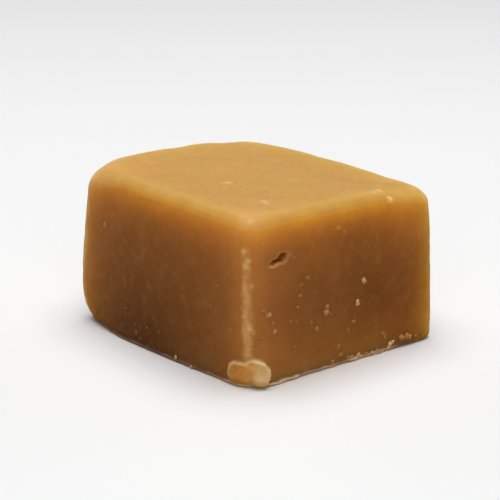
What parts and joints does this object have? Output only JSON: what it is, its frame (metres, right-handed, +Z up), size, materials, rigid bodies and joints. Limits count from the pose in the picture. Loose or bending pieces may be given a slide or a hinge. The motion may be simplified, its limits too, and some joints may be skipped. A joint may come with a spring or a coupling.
{
  "type": "fudge cube",
  "caption": "Low hand-cut block of caramel fudge with a soft rounded top, worn upright edges, a small torn pit and a smeared foot at one corner.",
  "frame": {"origin": "on the flat underside, under the middle of the block's own box", "axes": "+Z up; +Y along the longer sides, +X along the shorter sides; the worn front edge with the smeared foot is at -X -Y"},
  "size_m": [0.0252, 0.0294, 0.0172],
  "materials": {
    "fudge": "opaque caramel tan, smooth and faintly waxy, satin with a fine sugar grain"
  },
  "bodies": {
    "root": {"fudge_cube": "fudge"}
  },
  "joints": []
}
